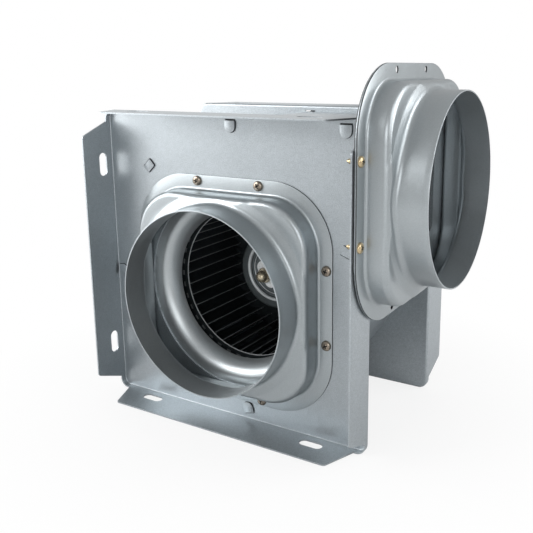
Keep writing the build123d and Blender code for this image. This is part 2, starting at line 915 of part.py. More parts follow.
def earth_stud():
    """An earth screw with a serrated washer under its head."""
    washer = Cylinder(small_head_radius + 1.5, 0.8, align=(Align.CENTER, Align.CENTER, Align.MIN))
    return washer + Pos(0, 0, 0.8) * small_screw(6.8)


def capacitor_axis(y):
    return Plane(origin=(capacitor_offset, y, capacitor_z), x_dir=(0, 1, 0), z_dir=(-1, 0, 0))


def capacitor():
    end = capacitor_axis(box_y + capacitor_radius + clip_sheet) * Circle(capacitor_radius)
    return fillet(extrude(end, capacitor_length / 2, both=True).edges(), 1.5)


def capacitor_clip():
    """The saddle that holds the capacitor to the rear pan."""
    y = box_y + capacitor_radius + clip_sheet
    saddle = capacitor_axis(y) * (Circle(capacitor_radius + clip_sheet) - Circle(capacitor_radius))
    band = extrude(saddle, clip_width / 2, both=True)
    length = capacitor_radius + clip_foot + 2
    foot = Pos(capacitor_offset, box_y + clip_sheet / 2, capacitor_z - length / 2)
    lug = foot * Box(clip_width, clip_sheet, length)
    screw_seat = rear_pan_screw_seats()[0]
    lug -= extrude(screw_seat * Circle(small_screw_radius + hole_clearance), 6, both=True)
    lug -= extrude(capacitor_axis(y) * Circle(capacitor_radius + clip_sheet / 2), clip_width, both=True)
    return band + lug


save("front_pan", front_pan())
save("bell_mouth", bell_mouth())
save("rear_pan", rear_pan())
save("volute_wall", volute_wall())

collar = duct_collar()
save("intake_collar", front_plane * collar)
save("outlet_collar", outlet_plane * collar)
save("outlet_gasket", outlet_gasket())
save("outlet_plate", outlet_plate())

head_seat = Pos(0, 0, collar_sheet)
save("intake_screws", *[front_plane * spot * head_seat * collar_screw() for spot in collar_hole_places()])
side_spots = [
    Pos(side * collar_hole_reach, height)
    for side in (-1, 1)
    for height in (-collar_hole_offset, collar_hole_offset)
]
save("outlet_screws", *[outlet_plane * spot * head_seat * collar_screw() for spot in side_spots])

save("impeller_blades", *impeller_blades())
save("impeller_back_disc", impeller_back_disc())
save("impeller_front_ring", impeller_front_ring())
save("impeller_boss", impeller_boss())
save("hub_clamp", hub_clamp())
save("hub_nut", acorn_nut())
save("motor_shaft", motor_shaft())
save("motor_rotor", motor_rotor())

save("motor_stator", motor_stator())
save("motor_front_shield", motor_front_shield())
save("motor_rear_shield", motor_rear_shield())
save("front_bearing", bearing(front_bearing_y))
save("rear_bearing", bearing(rear_bearing_y))
save("motor_plate", motor_plate())
save("motor_bushes", *motor_bushes())

foot_seat = facing_rear(motor_plate_y + motor_plate_sheet + bush_height + foot_sheet)
foot_screw = pan_head_screw(
    screw_radius, screw_head_radius, screw_head_height, bush_height + foot_sheet + motor_plate_sheet
)
save("motor_screws", *[foot_seat * spot * foot_screw for spot in foot_spots()])
plate_seat = facing_rear(motor_plate_y + motor_plate_sheet)
save("plate_screws", *[plate_seat * spot * collar_screw() for spot in plate_screw_places()])

save("terminal_box", terminal_box())
save("terminal_block", terminal_block())
save("terminal_lid", terminal_lid())
lid_seat = box_plane(box_depth)
save("lid_screws", *[lid_seat * Pos(x, z) * small_screw(lid_screw_length) for x, z in lid_screw_places()])
save("cable_gland", cable_gland())
save("capacitor", capacitor())
save("capacitor_clip", capacitor_clip())
clip_seat, earth_seat, *box_seats = rear_pan_screw_seats()
save("clip_screw", clip_seat * Pos(0, 0, clip_sheet) * small_screw(clip_sheet + clip_screw_grip))
save("earth_screw", earth_seat * earth_stud())
save("box_screws", *[seat * Pos(0, 0, box_wall) * small_screw(box_wall + box_screw_grip) for seat in box_seats])
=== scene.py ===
import math

import bmesh
import bpy
from mathutils import Matrix, Vector


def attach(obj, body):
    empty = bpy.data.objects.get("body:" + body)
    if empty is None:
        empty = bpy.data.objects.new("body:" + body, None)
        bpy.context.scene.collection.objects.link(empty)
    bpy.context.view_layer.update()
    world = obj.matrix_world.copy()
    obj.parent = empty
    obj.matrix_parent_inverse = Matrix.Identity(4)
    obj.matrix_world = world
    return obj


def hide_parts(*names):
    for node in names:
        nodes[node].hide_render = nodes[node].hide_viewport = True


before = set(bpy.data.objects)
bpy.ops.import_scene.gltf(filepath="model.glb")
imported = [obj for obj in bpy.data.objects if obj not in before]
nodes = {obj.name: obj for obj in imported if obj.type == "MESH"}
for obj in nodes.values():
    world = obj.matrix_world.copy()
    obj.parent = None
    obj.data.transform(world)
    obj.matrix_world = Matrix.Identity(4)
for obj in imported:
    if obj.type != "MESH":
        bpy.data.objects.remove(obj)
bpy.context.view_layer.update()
mm = 0.001

# sizes that several pieces share, in millimetres, as in the CAD
fan = {
    "frontY": 44.0,
    "outletX": 127.1,
    "outletY": 108.35,
    "outletZ": 87.6,
    "holeReach": 89.7,
    "holeOffset": 29.7,
}


# shader maths

def give(tree, socket, value):
    # links a field to a socket, or sets the socket's own value
    if isinstance(value, Field):
        tree.links.new(value.socket, socket)
    else:
        socket.default_value = value


class Field:
    # a shader socket that adds Math nodes when it is used in an expression
    def __init__(self, tree, socket):
        self.tree = tree
        self.socket = socket

    def maths(self, operation, other, swapped=False):
        node = self.tree.nodes.new("ShaderNodeMath")
        node.operation = operation
        values = [other, self] if swapped else [self, other]
        for place, value in enumerate(values):
            give(self.tree, node.inputs[place], value)
        return Field(self.tree, node.outputs[0])

    def clamped(self):
        return self.maths("MAXIMUM", 0.0).maths("MINIMUM", 1.0)

    def __add__(self, other):
        return self.maths("ADD", other)

    def __radd__(self, other):
        return self.maths("ADD", other, True)

    def __sub__(self, other):
        return self.maths("SUBTRACT", other)

    def __rsub__(self, other):
        return self.maths("SUBTRACT", other, True)

    def __mul__(self, other):
        return self.maths("MULTIPLY", other)

    def __rmul__(self, other):
        return self.maths("MULTIPLY", other, True)

    def __truediv__(self, other):
        return self.maths("DIVIDE", other)

    def __rtruediv__(self, other):
        return self.maths("DIVIDE", other, True)

    def __pow__(self, other):
        return self.maths("POWER", other)

    def __rpow__(self, other):
        return self.maths("POWER", other, True)


class Finish:
    # one material; node() makes any node, feed() sets or links a shader socket
    def __init__(self, name, **constants):
        self.material = bpy.data.materials.new(name)
        self.material.use_nodes = True
        self.tree = self.material.node_tree
        self.shader = self.tree.nodes["Principled BSDF"]
        for socketName, value in constants.items():
            self.feed(socketName.replace("_", " "), value)

    def node(self, kind, settings=None, inputs=None, output=0):
        made = self.tree.nodes.new(kind)
        for name, value in (settings or {}).items():
            setattr(made, name, value)
        for name, value in (inputs or {}).items():
            give(self.tree, made.inputs[name], value)
        return Field(self.tree, made.outputs[output])

    def feed(self, socketName, value):
        give(self.tree, self.shader.inputs[socketName], value)

    def place(self):
        return self.node("ShaderNodeTexCoord", output="Object")

    def noise(self, scale, detail=2.0, roughness=0.5):
        inputs = {"Vector": self.place(), "Scale": scale, "Detail": detail, "Roughness": roughness}
        return self.node("ShaderNodeTexNoise", inputs=inputs)

    def blend(self, factor, low, high):
        # 6 and 7 are the Mix node's two colours
        return self.node("ShaderNodeMix", {"data_type": "RGBA"}, {0: factor, 6: low, 7: high}, 2)

    def bump(self, height, strength, distance):
        inputs = {"Height": height, "Strength": strength, "Distance": distance}
        self.feed("Normal", self.node("ShaderNodeBump", inputs=inputs))


# galvanised sheet: fine grain, a faint spangle and slow cloudiness

panLook = {
    "dark": (0.270, 0.297, 0.312, 1),
    "light": (0.510, 0.551, 0.580, 1),
    "metallic": 0.86,
    "roughness": 0.39,
    "grainScale": 1250.0,
    "grainDetail": 3.0,
    "grainRoughness": 0.6,
    "grainAmount": 1.35,
    "spangleScale": 420.0,
    "spangleAmount": 0.12,
    "spangleRoughness": 0.04,
    "cloudScale": 12.0,
    "cloudAmount": 0.35,
    "cloudRoughness": 0.06,
    "bump": 0.06,
    "bumpDistance": 0.00005,
}
# the collars' zinc is smoother and glossier than the pan's, and its colour is set darker as painted shade
collarLook = dict(
    panLook,
    dark=(0.262, 0.288, 0.299, 1),
    light=(0.480, 0.520, 0.541, 1),
    metallic=0.76,
    roughness=0.33,
    grainAmount=0.6,
    spangleAmount=0.04,
    cloudAmount=0.2,
    bump=0.03,
)
sheetLooks = {
    "panSteel": panLook,
    "collarSteel": collarLook,
    # the bell mouth is the same sheet set lighter, as painted light
    "bellSteelPaintedLight": dict(collarLook, dark=(0.36, 0.39, 0.40, 1), light=(0.60, 0.64, 0.66, 1), roughness=0.36),
    "stripSteel": dict(panLook, roughness=0.36, cloudScale=9.0),
}


def galvanisedSheet(name, look):
    finish = Finish(name, Metallic=look["metallic"])
    grain = finish.noise(look["grainScale"], look["grainDetail"], look["grainRoughness"])
    cloud = finish.noise(look["cloudScale"])
    cell = {"Vector": finish.place(), "Scale": look["spangleScale"]}
    spangle = finish.node("ShaderNodeTexVoronoi", inputs=cell, output=1)
    spangle = finish.node("ShaderNodeSeparateColor", inputs={0: spangle})
    tone = 0.5 + (grain - 0.5) * look["grainAmount"] + (spangle - 0.5) * look["spangleAmount"]
    tone = tone + (cloud - 0.5) * look["cloudAmount"]
    finish.feed("Base Color", finish.blend(tone, look["dark"], look["light"]))
    roughness = look["roughness"] + (cloud - 0.5) * look["cloudRoughness"]
    finish.feed("Roughness", roughness + (spangle - 0.5) * look["spangleRoughness"])
    finish.bump(grain, look["bump"], look["bumpDistance"])
    return finish


# black wheel paint, with a painted highlight at the wheel's eye and on the folded marks of its ring, speckled
# by noise

wheelLook = {
    "low": (0.022, 0.027, 0.030, 1),
    "high": (0.066, 0.079, 0.086, 1),
    # the colour of the painted highlight
    "edge": (0.62, 0.65, 0.66, 1),
    "metallic": 0.7,
    "roughness": 0.34,
    "roughnessSpread": 0.2,
    "toneScale": 240.0,
    "bumpScale": 900.0,
    "bump": 0.05,
    "bumpDistance": 0.0001,
    "highlightWidth": 0.0004,
    "highlightSpeckle": 0.7,
    "highlightMetal": 0.45,
    "markPlane": 0.0676,  # the ring's marks stand in front of this Y, in metres
    "markHighlight": 0.3,
}
wheelHighlights = {  # the radius in metres inside which a highlight is painted, and how strongly
    "bladePaint": (0.0645, 0.42),
    "ringPaint": (0.0641, 1.2),
    "discPaint": (0.0, 0.0),
}


def wheelPaint(name, look, eyeRadius, highlightAmount):
    finish = Finish(name)
    noise = finish.noise(look["toneScale"], 4.0)
    paint = finish.blend(noise, look["low"], look["high"])
    split = finish.node("ShaderNodeSeparateXYZ", inputs={0: finish.place()}).socket.node
    across, deep, up = (Field(finish.tree, socket) for socket in split.outputs)
    reach = (across * across + up * up) ** 0.5
    # painted highlight: bright and less metallic inside the eye's radius and on the ring's marks
    highlight = ((eyeRadius - reach) / look["highlightWidth"] + 0.5).clamped()
    mark = deep.maths("LESS_THAN", look["markPlane"]) * look["markHighlight"]
    highlight = highlight.maths("MAXIMUM", mark) * (0.5 + noise * look["highlightSpeckle"])
    highlight = (highlight * highlightAmount).maths("MINIMUM", 1.0)
    finish.feed("Base Color", finish.blend(highlight, paint, look["edge"]))
    finish.feed("Metallic", look["metallic"] - highlight * look["highlightMetal"])
    finish.feed("Roughness", look["roughness"] + (noise - 0.5) * look["roughnessSpread"])
    finish.bump(finish.noise(look["bumpScale"]), look["bump"], look["bumpDistance"])
    return finish


# plain finishes with a little unevenness:
# low and high colour, roughness and its spread, noise scale, bump, metallic

plainLooks = {
    "hubSteel": ((0.075, 0.088, 0.093, 1), (0.125, 0.142, 0.148, 1), 0.36, 0.15, 300.0, 0.05, 0.45),
    # painted highlight for the hub disc's rolled rim and its bead
    "rimPaintedHighlight": ((0.60, 0.63, 0.64, 1), (0.76, 0.79, 0.80, 1), 0.32, 0.12, 300.0, 0.05, 0.4),
    "bronzeSteel": ((0.13, 0.108, 0.086, 1), (0.44, 0.375, 0.305, 1), 0.22, 0.2, 500.0, 0.05, 0.9),
    "brassSteel": ((0.38, 0.28, 0.15, 1), (0.74, 0.61, 0.40, 1), 0.22, 0.2, 500.0, 0.05, 0.95),
    "nutBrass": ((0.40, 0.34, 0.235, 1), (0.60, 0.53, 0.40, 1), 0.26, 0.15, 400.0, 0.05, 0.72),
    "clampWhite": ((0.84, 0.86, 0.87, 1), (0.93, 0.94, 0.95, 1), 0.36, 0.2, 500.0, 0.3, 0.0),
    # the sheet's cut edges: their own dark steel, deepened as painted shadow
    "edgeSteelAndShade": ((0.045, 0.049, 0.052, 1), (0.10, 0.108, 0.112, 1), 0.6, 0.1, 700.0, 0.05, 0.6),
    # near-black painted shade for the screws' recesses and the tabs' gaps and slots
    "paintedGapShade": ((0.010, 0.011, 0.012, 1), (0.035, 0.037, 0.039, 1), 0.8, 0.1, 700.0, 0.05, 0.0),
    "gasketRubber": ((0.008, 0.008, 0.008, 1), (0.022, 0.022, 0.022, 1), 0.85, 0.1, 900.0, 0.3, 0.0),
    "bushRubber": ((0.012, 0.012, 0.013, 1), (0.03, 0.03, 0.032, 1), 0.7, 0.15, 700.0, 0.2, 0.0),
    "castAluminium": ((0.40, 0.41, 0.42, 1), (0.60, 0.61, 0.62, 1), 0.46, 0.15, 900.0, 0.35, 1.0),
    "zincSteel": ((0.52, 0.53, 0.55, 1), (0.74, 0.75, 0.77, 1), 0.28, 0.15, 800.0, 0.05, 1.0),
    "groundSteel": ((0.48, 0.49, 0.50, 1), (0.66, 0.67, 0.68, 1), 0.22, 0.1, 900.0, 0.05, 1.0),
    "laminations": ((0.06, 0.06, 0.065, 1), (0.14, 0.14, 0.15, 1), 0.5, 0.2, 500.0, 0.2, 0.8),
    "boxPlastic": ((0.040, 0.042, 0.045, 1), (0.065, 0.068, 0.072, 1), 0.5, 0.12, 1100.0, 0.3, 0.0),
    "blockPlastic": ((0.66, 0.66, 0.62, 1), (0.8, 0.8, 0.76, 1), 0.45, 0.1, 500.0, 0.05, 0.0),
    "glandPlastic": ((0.018, 0.018, 0.019, 1), (0.035, 0.035, 0.037, 1), 0.42, 0.12, 700.0, 0.05, 0.0),
    "canPlastic": ((0.66, 0.67, 0.69, 1), (0.78, 0.79, 0.81, 1), 0.35, 0.1, 400.0, 0.05, 0.0),
}


def unevenFinish(name, low, high, roughness, spread, scale, bump, metallic):
    finish = Finish(name, Metallic=metallic)
    noise = finish.noise(scale, 4.0)
    finish.feed("Base Color", finish.blend(noise, low, high))
    finish.feed("Roughness", roughness + (noise - 0.5) * spread)
    finish.bump(finish.noise(scale * 4), bump, 0.0001)
    return finish


finishes = {name: galvanisedSheet(name, look) for name, look in sheetLooks.items()}
finishes.update({name: wheelPaint(name, wheelLook, *highlight) for name, highlight in wheelHighlights.items()})
finishes.update({name: unevenFinish(name, *look) for name, look in plainLooks.items()})
print("finishes made")

nodeFinishes = {
    "panSteel": ("front_pan", "rear_pan", "outlet_plate", "motor_plate"),
    "bellSteelPaintedLight": ("bell_mouth",),
    "stripSteel": ("volute_wall",),
    "collarSteel": ("intake_collar", "outlet_collar"),
    "gasketRubber": ("outlet_gasket",),
    "bronzeSteel": ("intake_screws",),
    "brassSteel": ("outlet_screws", "earth_screw"),
    "bladePaint": ("impeller_blades",),
    "hubSteel": ("impeller_back_disc", "impeller_boss"),
    "ringPaint": ("impeller_front_ring",),
    "clampWhite": ("hub_clamp",),
    "nutBrass": ("hub_nut",),
    "groundSteel": ("motor_shaft", "front_bearing", "rear_bearing"),
    "laminations": ("motor_rotor", "motor_stator"),
    "castAluminium": ("motor_front_shield", "motor_rear_shield"),
    "bushRubber": ("motor_bushes",),
    "zincSteel": ("motor_screws", "plate_screws", "lid_screws", "box_screws", "capacitor_clip", "clip_screw"),
    "boxPlastic": ("terminal_box", "terminal_lid"),
    "blockPlastic": ("terminal_block",),
    "glandPlastic": ("cable_gland",),
    "canPlastic": ("capacitor",),
}
for finishName, nodeNames in nodeFinishes.items():
    for nodeName in nodeNames:
        nodes[nodeName].data.materials.clear()
        nodes[nodeName].data.materials.append(finishes[finishName].material)


# mesh helpers; shapes are drawn in local millimetres

def seat(origin, xAxis, zAxis):
    # local millimetres to the shared frame in metres
    x, z = Vector(xAxis), Vector(zAxis)
    y = z.cross(x)
    turn = Matrix((x, y, z)).transposed().to_4x4()
    return Matrix.Translation(Vector(origin) * mm) @ turn @ Matrix.Diagonal((mm, mm, mm, 1))


def facingFront(x, y, z):
    # local Z runs out of the intake
    return seat((x, y, z), (1, 0, 0), (0, -1, 0))


intoFan = seat((0, 0, 0), (1, 0, 0), (0, 1, 0))


def meshFrom(name, shape, sharp=30.0, place=None):
    # edges that turn by more than so many degrees stay sharp
    if place is not None:
        bmesh.ops.transform(shape, matrix=place, verts=shape.verts)
    bmesh.ops.recalc_face_normals(shape, faces=shape.faces)
    mesh = bpy.data.meshes.new(name)
    shape.to_mesh(mesh)
    shape.free()
    for face in mesh.polygons:
        face.use_smooth = True
    mesh.set_sharp_from_angle(angle=math.radians(sharp))
    return mesh


def addPiece(name, mesh, body, slotName, stands, *finishNames):
    # a mesh's faces take the number of a second finish only once it is there, a bmesh's at any time
    piece = bpy.data.objects.new(name, mesh)
    bpy.context.scene.collection.objects.link(piece)
    for finishName in finishNames:
        mesh.materials.append(finishes[finishName].material)
    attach(piece, body)
    if stands:
        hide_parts(*stands)


def polar(radius, angle, height):
    return Vector((radius * math.cos(angle), radius * math.sin(angle), height))


def circle(radius, height, count):
    if radius < 1e-6:
        return [Vector((0, 0, height))]
    return [polar(radius, math.tau * k / count, height) for k in range(count)]


def skin(shape, rings, closeEnds=False):
    # quads between rings of equal length; a ring of one point is a pole
    made = [[shape.verts.new(point) for point in ring] for ring in rings]
    for lower, upper in zip(made, made[1:]):
        count = max(len(lower), len(upper))
        for k in range(count):
            follow = (k + 1) % count
            corners = [lower[k % len(lower)], lower[follow % len(lower)]]
            corners += [upper[follow % len(upper)], upper[k % len(upper)]]
            corners = [v for i, v in enumerate(corners) if v not in corners[:i]]
            if len(corners) > 2:
                shape.faces.new(corners)
    if closeEnds:
        for ring in (made[0], made[-1]):
            shape.faces.new(ring)


def turnedSheet(profile, thickness, count):
    # an open (radius, height) profile given a thickness and turned about local Z
    other = []
    for k, (radius, height) in enumerate(profile):
        before, after = profile[max(k - 1, 0)], profile[min(k + 1, len(profile) - 1)]
        along = Vector((after[0] - before[0], after[1] - before[1])).normalized()
        other.append((radius + along.y * thickness, height - along.x * thickness))
    outline = profile + other[::-1]
    shape = bmesh.new()
    skin(shape, [circle(radius, height, count) for radius, height in outline + outline[:1]])
    bmesh.ops.remove_doubles(shape, verts=shape.verts, dist=1e-6)
    return shape


def addBox(shape, size, centre):
    made = bmesh.ops.create_cube(shape, size=1.0)
    bmesh.ops.scale(shape, verts=made["verts"], vec=size)
    bmesh.ops.translate(shape, verts=made["verts"], vec=centre)


def drills(radius, length, places, segments):
    # round cutters, each along its own Z
    shape = bmesh.new()
    ends = {"radius1": radius, "radius2": radius, "depth": length}
    for place in places:
        bmesh.ops.create_cone(shape, cap_ends=True, segments=segments, matrix=place, **ends)
    return shape


def carved(name, solid, cutter):
    # one closed mesh cut by another, both in the same units
    things = []
    for shape, label in ((solid, name + "Blank"), (cutter, name + "Cutter")):
        bmesh.ops.recalc_face_normals(shape, faces=shape.faces)
        mesh = bpy.data.meshes.new(label)
        shape.to_mesh(mesh)
        shape.free()
        things.append(bpy.data.objects.new(label, mesh))
        bpy.context.scene.collection.objects.link(things[-1])
    cut = things[0].modifiers.new("cut", "BOOLEAN")
    cut.operation, cut.solver, cut.object = "DIFFERENCE", "EXACT", things[1]
    bpy.context.view_layer.update()
    ready = bpy.data.meshes.new_from_object(things[0].evaluated_get(bpy.context.evaluated_depsgraph_get()))
    result = bmesh.new()
    result.from_mesh(ready)
    for thing in things:
        old = thing.data
        bpy.data.objects.remove(thing)
        bpy.data.meshes.remove(old)
    bpy.data.meshes.remove(ready)
    return result


def stamp(shape, places, whole=None):
    # one shape copied to several places, in one mesh in metres
    if whole is None:
        whole = bmesh.new()
    pattern = bpy.data.meshes.new("pattern")
    shape.to_mesh(pattern)
    shape.free()
    for place in places:
        before = len(whole.verts)
        whole.from_mesh(pattern)
        whole.verts.ensure_lookup_table()
        bmesh.ops.transform(whole, matrix=place, verts=whole.verts[before:])
    bpy.data.meshes.remove(pattern)
    return whole


# duct collars: flange, skirt, crown and spigot as one pressed sheet

collarSizes = {
    "segments": 288,
    "sheet": 1.0,
    "flangeHalf": 94.5,
    "flangeCorner": 52.0,
    "skirtHalf": 82.0,
    "skirtCorner": 39.5,
    "skirtHeight": 18.5,
    "footRound": 2.5,
    "shoulderRound": 5.0,
    "crownBase": 85.0,
    "crownTop": 79.5,
    "crownRise": 1.6,
    "spigotRadius": 75.0,
    "height": 44.0,
    "edge": 0.2,
    "holeRadius": 2.6,
    "holeSegments": 32,
    "drillLength": 8.0,
    "darkEdgeMargin": 4.0,  # the edges that are marked lie at least this far outside the skirt
    "sharp": 40.0,
}


def squareReach(half, corner, angle):
    # distance from the centre to a rounded square's edge
    a = angle % (math.pi / 2)
    if a > math.pi / 4:
        a = math.pi / 2 - a
    k = half - corner
    if half * math.tan(a) <= k:
        return half / math.cos(a)
    both = math.cos(a) + math.sin(a)
    return k * both + math.sqrt(k * k * both * both - 2 * k * k + corner * corner)


def roundedStep(inside, radius):
    # height of a quarter round at a distance inside its foot
    if inside >= radius:
        return radius
    return math.sqrt(max(0.0, radius * radius - (radius - inside) ** 2))


def collarProfile(c, angle):
    # (reach, height) points of the outer face from the flange's rim to the spigot's mouth
    def flange(grow):
        return squareReach(c["flangeHalf"] + grow, c["flangeCorner"] + grow, angle)

    def skirt(grow):
        return squareReach(c["skirtHalf"] + grow, c["skirtCorner"] + grow, angle)

    t, e, foot = c["sheet"], c["edge"], c["footRound"]
    bevel = e * 0.3
    quarter = [math.radians(-90 - 15 * step) for step in range(7)]  # of a turn, in six steps
    points = [(flange(0), 0.0), (flange(0), t - e), (flange(-bevel), t - bevel), (flange(-e), t)]
    points += [(skirt(foot + foot * math.cos(a)), t + foot + foot * math.sin(a)) for a in quarter]
    low = c["skirtHeight"] - c["shoulderRound"]
    edge = skirt(0)
    depth = min(c["shoulderRound"], edge - c["crownTop"])
    # across the top: a quarter round in ten steps, three to the crown's foot and six up its slope
    reaches = [edge - depth * (1 - math.cos(math.radians(9 * step))) for step in range(11)]
    crease = min(reaches[-1], c["crownBase"])
    reaches += [reaches[-1] + (crease - reaches[-1]) * step / 3 for step in (1, 2, 3)]
    reaches += [crease + (c["crownTop"] - crease) * step / 6 for step in range(1, 7)]
    for reach in reaches:
        inside = edge - reach
        height = low + roundedStep(inside, c["shoulderRound"])
        if reach <= c["crownBase"]:
            slope = (c["crownBase"] - reach) / (c["crownBase"] - c["crownTop"])
            crown = c["skirtHeight"] + c["crownRise"] * slope
            height = max(height, min(crown, low + roundedStep(inside, c["shoulderRound"] + c["crownRise"])))
        points.append((reach, height))
    bend = c["crownTop"] - c["spigotRadius"]
    top = points[-1][1]
    points += [(c["crownTop"] + bend * math.cos(a), top + bend + bend * math.sin(a)) for a in quarter[1:]]
    for share in (0.25, 0.5, 0.75):
        points.append((c["spigotRadius"], top + bend + (c["height"] - top - bend) * share))
    points += [(c["spigotRadius"], c["height"] - e), (c["spigotRadius"] - bevel, c["height"] - bevel)]
    points.append((c["spigotRadius"] - e, c["height"]))
    return points


def collarUnderside(c, outer):
    # the outer face's points moved inwards by the sheet's thickness
    t = c["sheet"]
    under = [(outer[0][0], 0.0)]
    for k in range(1, len(outer)):
        reach, height = outer[k]
        if height <= t + 1e-6:
            under.append((reach, 0.0))
            continue
        before, after = outer[k - 1], outer[min(k + 1, len(outer) - 1)]
        along = Vector((after[0] - before[0], after[1] - before[1]))
        if along.length < 1e-6:
            along = Vector((0, 1))
        along.normalize()
        under.append((reach - along.y * t, height + along.x * t))
    under[-1] = (c["spigotRadius"] - t, outer[-1][1])
    return under


def collarMesh(name, c, place, holes):
    angles = [math.tau * k / c["segments"] for k in range(c["segments"])]
    loops = []
    for angle in angles:
        profile = collarProfile(c, angle)
        loops.append(profile + collarUnderside(c, profile)[::-1])
    rings = []
    for level in zip(*loops):
        rings.append([polar(reach, angle, height) for angle, (reach, height) in zip(angles, level)])
    shape = bmesh.new()
    skin(shape, rings + rings[:1])
    bmesh.ops.remove_doubles(shape, verts=shape.verts, dist=1e-4)
    if holes:
        places = [Matrix.Translation((x, y, 0)) for x, y in holes]
        shape = carved(name, shape, drills(c["holeRadius"], c["drillLength"], places, c["holeSegments"]))
    return meshFrom(name, shape, c["sharp"], place)


def bareAndShadedEdges(mesh, place, c):
    # the cut edges of the flange and of its holes are darker than the zinc, and darker still as a painted
    # shadow line
    back = place.inverted()
    turn = back.to_3x3()
    half, corner = c["skirtHalf"] + c["darkEdgeMargin"], c["skirtCorner"] + c["darkEdgeMargin"]
    for face in mesh.polygons:
        centre = back @ face.center
        inside = squareReach(half, corner, math.atan2(centre.y, centre.x))
        upright = abs((turn @ face.normal).normalized().z) < 0.5
        if upright and centre.z < c["sheet"] and math.hypot(centre.x, centre.y) > inside:
            face.material_index = 1


def addCollar(name, c, place, holes, node):
    mesh = collarMesh(name, c, place, holes)
    addPiece(name, mesh, "casing", "galvanised", [node], "collarSteel", "edgeSteelAndShade")
    bareAndShadedEdges(mesh, place, c)


holeSpots = []
for side in range(4):
    for offset in (-fan["holeOffset"], fan["holeOffset"]):
        spot = Matrix.Rotation(math.pi / 2 * side, 3, "Z") @ Vector((fan["holeReach"], offset, 0))
        holeSpots.append((spot.x, spot.y))

outletSeat = seat((fan["outletX"], fan["outletY"], fan["outletZ"]), (0, 1, 0), (1, 0, 0))
addCollar("intakeCollarSkin", collarSizes, facingFront(0, fan["frontY"], 0), [], "intake_collar")
addCollar("outletCollarSkin", collarSizes, outletSeat, holeSpots, "outlet_collar")
print("collars made")


# screws: domed heads with cross recesses and real threads

screwSizes = {
    "collar": {"head": 4.1, "rise": 2.6, "shank": 2.1, "reach": 8.0, "arm": 1.0, "span": 4.6, "depth": 1.9},
    "foot": {"head": 4.7, "rise": 2.6, "shank": 2.1, "reach": 8.5, "arm": 1.1, "span": 5.2, "depth": 1.9},
    "small": {"head": 2.9, "rise": 1.8, "shank": 1.5, "reach": 6.0, "arm": 0.8, "span": 3.4, "depth": 1.3},
    "lid": {"head": 2.9, "rise": 1.8, "shank": 1.5, "reach": 10.5, "arm": 0.8, "span": 3.4, "depth": 1.3},
    "segments": 36,
    "domeSteps": 10,
    "rim": 0.4,
    "rimEdge": 0.08,
    "bulge": 0.9,  # powers under 1 make the dome fuller than an ellipse
    "fall": 0.75,
    "pitch": 1.4,
    "threadDepth": 0.35,
    "firstTurn": 23,  # degrees, so that each screw stops at an angle of its own
    "nextTurn": 47,
    "recessShadeDepth": 0.2,  # faces this far under the dome are the recess, painted dark as shade
    "floorArm": 0.75,  # the recess's floor as a share of its mouth
    "floorSpan": 0.5,
    "cutterOver": 0.5,
    "tipRadius": 0.4,  # the point as a share of the shank
    "tipLength": 0.9,
    "sharp": 28.0,
}


def crossCutter(s, shared):
    # a plus-shaped prism, narrower at its floor
    def plus(arm, span, height):
        corners = [(span, -arm), (span, arm), (arm, arm), (arm, span), (-arm, span), (-arm, arm)]
        corners += [(-x, -y) for x, y in corners]
        return [Vector((x / 2, y / 2, height)) for x, y in corners]

    shape = bmesh.new()
    floor = plus(s["arm"] * shared["floorArm"], s["span"] * shared["floorSpan"], s["rise"] - s["depth"])
    mouth = plus(s["arm"], s["span"], s["rise"] + shared["cutterOver"])
    skin(shape, [floor, mouth], True)
    return shape


def domePoint(s, shared, t):
    # (radius, height) on a head's dome, from its top at 0 to its rim at a quarter turn
    height = shared["rim"] + (s["rise"] - shared["rim"]) * math.cos(t) ** shared["fall"]
    return s["head"] * math.sin(t) ** shared["bulge"], height


def screwSolid(s, shared):
    count, steps, edge = shared["segments"], shared["domeSteps"], shared["rimEdge"]
    rings = [circle(0, s["rise"], count)]
    for step in range(1, steps + 1):
        rings.append(circle(*domePoint(s, shared, math.pi / 2 * step / steps), count))
    rings.append(circle(s["head"], edge, count))
    rings.append(circle(s["head"] - edge, 0.0, count))
    rings.append(circle(s["shank"], 0.0, count))
    steps = int(s["reach"] / (shared["pitch"] / 4))
    for step in range(1, steps + 1):
        height = -s["reach"] * step / steps
        depth = shared["threadDepth"] * min(1.0, step / 3)
        ring = []
        for k in range(count):
            ridge = abs(((k / count + height / shared["pitch"]) % 1.0) * 2 - 1)
            ring.append(polar(s["shank"] - depth * (1 - ridge), math.tau * k / count, height))
        rings.append(ring)
    tip, length = s["shank"] * shared["tipRadius"], s["shank"] * shared["tipLength"]
    rings.append(circle(tip, -s["reach"] - length, count))
    rings.append(circle(0, -s["reach"] - s["shank"], count))
    shape = bmesh.new()
    skin(shape, rings)
    return shape


def addScrews(name, kind, places, finishName, slotName, node):
    s, shared = screwSizes[kind], screwSizes
    solid = carved(name, screwSolid(s, shared), crossCutter(s, shared))
    for face in solid.faces:
        centre = face.calc_center_median()
        reach = math.hypot(centre.x, centre.y)
        if reach < s["head"] * 0.95 and centre.z > 0.1:  # on the head, inside its rim
            dome = domePoint(s, shared, math.asin((reach / s["head"]) ** (1 / shared["bulge"])))
            face.material_index = int(centre.z < dome[1] - shared["recessShadeDepth"])  # the recess is painted dark as shade
    turns = [math.radians(shared["firstTurn"] + shared["nextTurn"] * k) for k in range(len(places))]
    spun = [place @ Matrix.Rotation(turn, 4, "Z") for place, turn in zip(places, turns)]
    mesh = meshFrom(name, stamp(solid, spun), shared["sharp"])
    addPiece(name, mesh, "casing", slotName, [node], finishName, "paintedGapShade")


